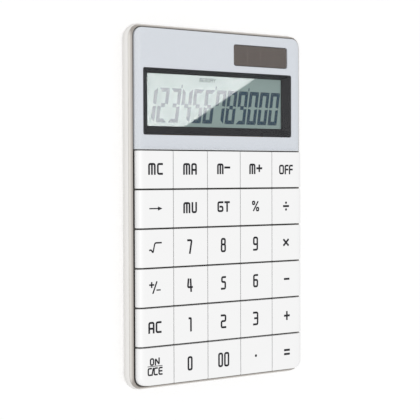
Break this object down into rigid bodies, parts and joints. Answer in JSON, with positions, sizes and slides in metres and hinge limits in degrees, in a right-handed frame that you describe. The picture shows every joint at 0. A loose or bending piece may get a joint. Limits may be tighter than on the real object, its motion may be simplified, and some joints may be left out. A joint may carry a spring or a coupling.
{
  "type": "pocket calculator",
  "caption": "Slim electronic calculator with flush square tile keys, a recessed display under a clear cover, a solar strip, and a sliding battery door in its back.",
  "frame": {"origin": "centre of the calculator's outline, on the surface that its feet stand on", "axes": "+X to the user's right, +Y from the keys towards the display, +Z out of the keys"},
  "size_m": [0.1024, 0.1664, 0.013],
  "materials": {
    "shell_white": "moulded white ABS, satin gloss",
    "key_white": "moulded white ABS, gloss, with dark printed legends",
    "frame_champagne": "warm silver paint on moulded plastic",
    "deck_black": "dark moulded plastic",
    "lens_clear": "clear acrylic",
    "panel_silver_blue": "pale silver-blue paint behind the clear cover",
    "bezel_black": "dark moulded plastic",
    "lcd_grey_green": "grey-green liquid crystal glass",
    "solar_brown": "dark brown thin-film cell on glass",
    "foot_rubber": "soft rubber",
    "sheet_silicone": "silicone sheet",
    "board_green": "glass-fibre circuit board",
    "plated_steel": "nickel-plated steel",
    "resin_black": "epoxy resin",
    "ribbon_film": "polyester film",
    "lead_red": "red insulation on copper",
    "lead_black": "black insulation on copper"
  },
  "bodies": {
    "case": {"rear_shell": "shell_white", "front_frame": "frame_champagne", "key_deck": "deck_black", "display_lens": "lens_clear", "display_panel": "panel_silver_blue", "display_bezel": "bezel_black", "lcd_cell": "lcd_grey_green", "solar_cell": "solar_brown", "keypad_sheet": "sheet_silicone", "main_board": "board_green", "chip_cover": "resin_black", "lcd_ribbon": "ribbon_film", "solar_lead_positive": "lead_red", "solar_lead_negative": "lead_black", "button_cell": "plated_steel", "contact_positive": "plated_steel", "contact_negative": "plated_steel", "rubber_foot_1": "foot_rubber", "rubber_foot_2": "foot_rubber", "rubber_foot_3": "foot_rubber", "rubber_foot_4": "foot_rubber", "case_screw_1": "plated_steel", "case_screw_2": "plated_steel", "case_screw_3": "plated_steel", "case_screw_4": "plated_steel", "case_screw_5": "plated_steel", "case_screw_6": "plated_steel"},
    "key_memory_clear": {"key_memory_clear": "key_white"},
    "key_memory_add_total": {"key_memory_add_total": "key_white"},
    "key_memory_minus": {"key_memory_minus": "key_white"},
    "key_memory_plus": {"key_memory_plus": "key_white"},
    "key_off": {"key_off": "key_white"},
    "key_backspace": {"key_backspace": "key_white"},
    "key_mark_up": {"key_mark_up": "key_white"},
    "key_grand_total": {"key_grand_total": "key_white"},
    "key_percent": {"key_percent": "key_white"},
    "key_divide": {"key_divide": "key_white"},
    "key_square_root": {"key_square_root": "key_white"},
    "key_7": {"key_7": "key_white"},
    "key_8": {"key_8": "key_white"},
    "key_9": {"key_9": "key_white"},
    "key_multiply": {"key_multiply": "key_white"},
    "key_sign": {"key_sign": "key_white"},
    "key_4": {"key_4": "key_white"},
    "key_5": {"key_5": "key_white"},
    "key_6": {"key_6": "key_white"},
    "key_minus": {"key_minus": "key_white"},
    "key_all_clear": {"key_all_clear": "key_white"},
    "key_1": {"key_1": "key_white"},
    "key_2": {"key_2": "key_white"},
    "key_3": {"key_3": "key_white"},
    "key_plus": {"key_plus": "key_white"},
    "key_on_clear": {"key_on_clear": "key_white"},
    "key_0": {"key_0": "key_white"},
    "key_00": {"key_00": "key_white"},
    "key_point": {"key_point": "key_white"},
    "key_equals": {"key_equals": "key_white"},
    "door": {"battery_door": "shell_white"}
  },
  "joints": [
    {"name": "key_memory_clear_press", "type": "slide", "parent": "case", "child": "key_memory_clear", "axis": [0, 0, -1], "range_m": [0, 0.001], "stiffness_N_per_m": 600},
    {"name": "key_memory_add_total_press", "type": "slide", "parent": "case", "child": "key_memory_add_total", "axis": [0, 0, -1], "range_m": [0, 0.001], "stiffness_N_per_m": 600},
    {"name": "key_memory_minus_press", "type": "slide", "parent": "case", "child": "key_memory_minus", "axis": [0, 0, -1], "range_m": [0, 0.001], "stiffness_N_per_m": 600},
    {"name": "key_memory_plus_press", "type": "slide", "parent": "case", "child": "key_memory_plus", "axis": [0, 0, -1], "range_m": [0, 0.001], "stiffness_N_per_m": 600},
    {"name": "key_off_press", "type": "slide", "parent": "case", "child": "key_off", "axis": [0, 0, -1], "range_m": [0, 0.001], "stiffness_N_per_m": 600},
    {"name": "key_backspace_press", "type": "slide", "parent": "case", "child": "key_backspace", "axis": [0, 0, -1], "range_m": [0, 0.001], "stiffness_N_per_m": 600},
    {"name": "key_mark_up_press", "type": "slide", "parent": "case", "child": "key_mark_up", "axis": [0, 0, -1], "range_m": [0, 0.001], "stiffness_N_per_m": 600},
    {"name": "key_grand_total_press", "type": "slide", "parent": "case", "child": "key_grand_total", "axis": [0, 0, -1], "range_m": [0, 0.001], "stiffness_N_per_m": 600},
    {"name": "key_percent_press", "type": "slide", "parent": "case", "child": "key_percent", "axis": [0, 0, -1], "range_m": [0, 0.001], "stiffness_N_per_m": 600},
    {"name": "key_divide_press", "type": "slide", "parent": "case", "child": "key_divide", "axis": [0, 0, -1], "range_m": [0, 0.001], "stiffness_N_per_m": 600},
    {"name": "key_square_root_press", "type": "slide", "parent": "case", "child": "key_square_root", "axis": [0, 0, -1], "range_m": [0, 0.001], "stiffness_N_per_m": 600},
    {"name": "key_7_press", "type": "slide", "parent": "case", "child": "key_7", "axis": [0, 0, -1], "range_m": [0, 0.001], "stiffness_N_per_m": 600},
    {"name": "key_8_press", "type": "slide", "parent": "case", "child": "key_8", "axis": [0, 0, -1], "range_m": [0, 0.001], "stiffness_N_per_m": 600},
    {"name": "key_9_press", "type": "slide", "parent": "case", "child": "key_9", "axis": [0, 0, -1], "range_m": [0, 0.001], "stiffness_N_per_m": 600},
    {"name": "key_multiply_press", "type": "slide", "parent": "case", "child": "key_multiply", "axis": [0, 0, -1], "range_m": [0, 0.001], "stiffness_N_per_m": 600},
    {"name": "key_sign_press", "type": "slide", "parent": "case", "child": "key_sign", "axis": [0, 0, -1], "range_m": [0, 0.001], "stiffness_N_per_m": 600},
    {"name": "key_4_press", "type": "slide", "parent": "case", "child": "key_4", "axis": [0, 0, -1], "range_m": [0, 0.001], "stiffness_N_per_m": 600},
    {"name": "key_5_press", "type": "slide", "parent": "case", "child": "key_5", "axis": [0, 0, -1], "range_m": [0, 0.001], "stiffness_N_per_m": 600},
    {"name": "key_6_press", "type": "slide", "parent": "case", "child": "key_6", "axis": [0, 0, -1], "range_m": [0, 0.001], "stiffness_N_per_m": 600},
    {"name": "key_minus_press", "type": "slide", "parent": "case", "child": "key_minus", "axis": [0, 0, -1], "range_m": [0, 0.001], "stiffness_N_per_m": 600},
    {"name": "key_all_clear_press", "type": "slide", "parent": "case", "child": "key_all_clear", "axis": [0, 0, -1], "range_m": [0, 0.001], "stiffness_N_per_m": 600},
    {"name": "key_1_press", "type": "slide", "parent": "case", "child": "key_1", "axis": [0, 0, -1], "range_m": [0, 0.001], "stiffness_N_per_m": 600},
    {"name": "key_2_press", "type": "slide", "parent": "case", "child": "key_2", "axis": [0, 0, -1], "range_m": [0, 0.001], "stiffness_N_per_m": 600},
    {"name": "key_3_press", "type": "slide", "parent": "case", "child": "key_3", "axis": [0, 0, -1], "range_m": [0, 0.001], "stiffness_N_per_m": 600},
    {"name": "key_plus_press", "type": "slide", "parent": "case", "child": "key_plus", "axis": [0, 0, -1], "range_m": [0, 0.001], "stiffness_N_per_m": 600},
    {"name": "key_on_clear_press", "type": "slide", "parent": "case", "child": "key_on_clear", "axis": [0, 0, -1], "range_m": [0, 0.001], "stiffness_N_per_m": 600},
    {"name": "key_0_press", "type": "slide", "parent": "case", "child": "key_0", "axis": [0, 0, -1], "range_m": [0, 0.001], "stiffness_N_per_m": 600},
    {"name": "key_00_press", "type": "slide", "parent": "case", "child": "key_00", "axis": [0, 0, -1], "range_m": [0, 0.001], "stiffness_N_per_m": 600},
    {"name": "key_point_press", "type": "slide", "parent": "case", "child": "key_point", "axis": [0, 0, -1], "range_m": [0, 0.001], "stiffness_N_per_m": 600},
    {"name": "key_equals_press", "type": "slide", "parent": "case", "child": "key_equals", "axis": [0, 0, -1], "range_m": [0, 0.001], "stiffness_N_per_m": 600},
    {"name": "door_slide", "type": "slide", "parent": "case", "child": "door", "axis": [0, 1, 0], "range_m": [0, 0.024]}
  ]
}
